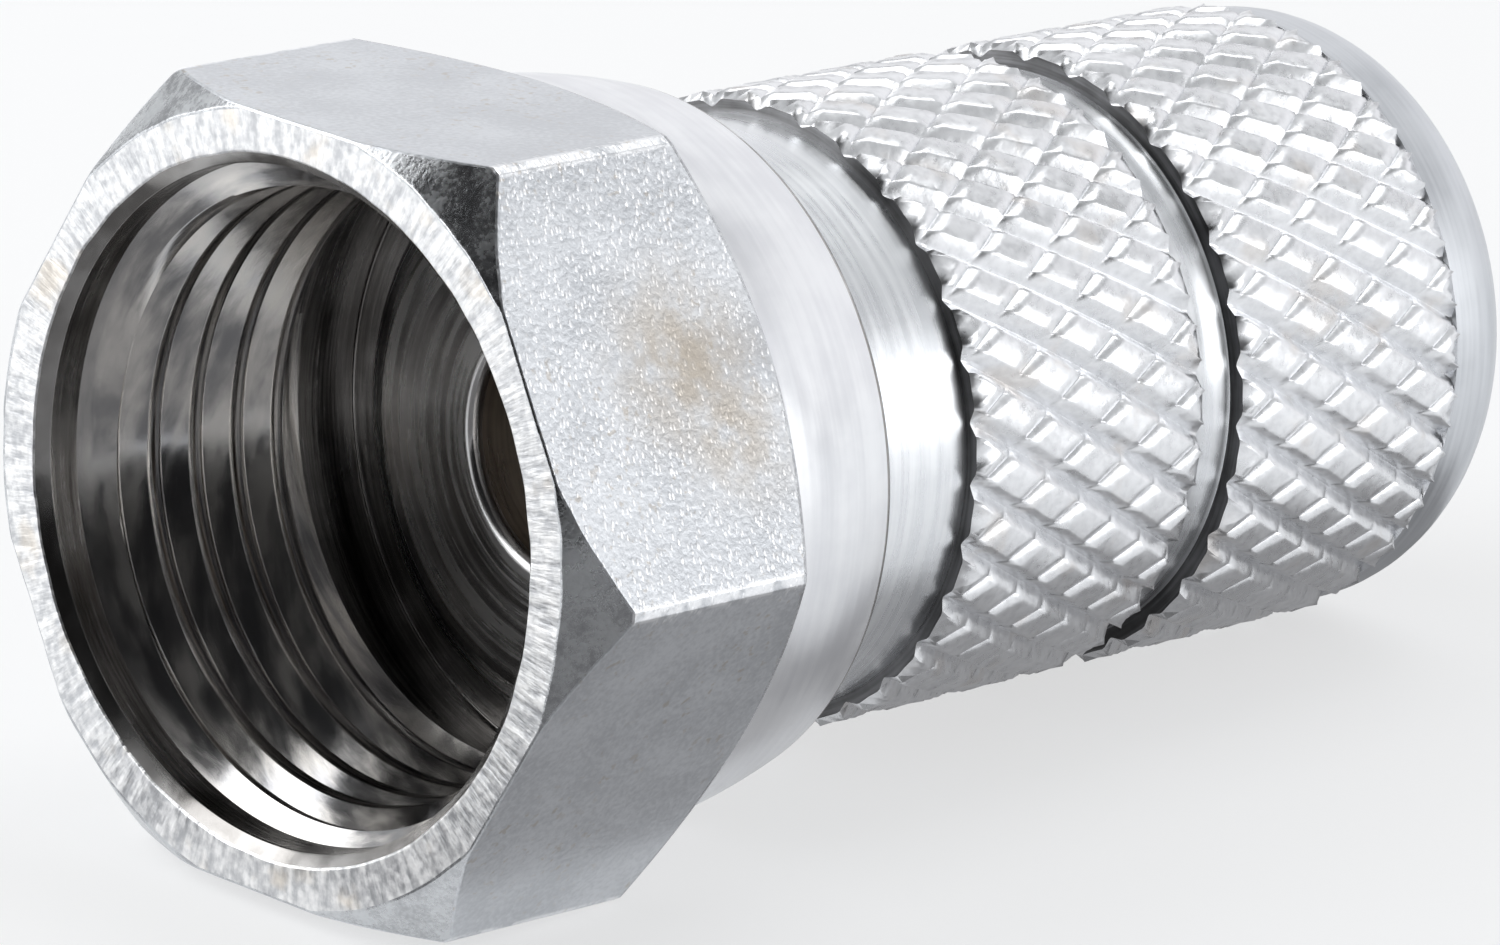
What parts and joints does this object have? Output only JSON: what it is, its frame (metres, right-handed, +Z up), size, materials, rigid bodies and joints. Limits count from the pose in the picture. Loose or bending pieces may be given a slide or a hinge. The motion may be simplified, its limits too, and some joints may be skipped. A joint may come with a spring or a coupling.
{
  "type": "f connector",
  "caption": "Twist-on coaxial cable plug with a free-turning hexagon coupling nut and a knurled body that screws onto the cable's jacket.",
  "frame": {"origin": "centre of the contact face inside the coupling nut, where the mating port's end seats, on the connector's axis", "axes": "+X along the axis from the port end to the cable end, +Z up, square to one pair of the nut's flats"},
  "size_m": [0.0212, 0.0126, 0.011],
  "materials": {
    "nut_nickel": "nickel plated, satin flats and bright turned shoulder",
    "ferrule_nickel": "nickel plated, turned, dull",
    "body_nickel": "nickel plated, bright, knurled"
  },
  "bodies": {
    "body": {"contact_ferrule": "ferrule_nickel", "knurled_body": "body_nickel"},
    "nut": {"coupling_nut": "nut_nickel"}
  },
  "joints": [
    {"name": "nut_spin", "type": "hinge", "parent": "body", "child": "nut", "pos_m": [0, 0, 0], "axis": [1, 0, 0], "continuous": true}
  ]
}
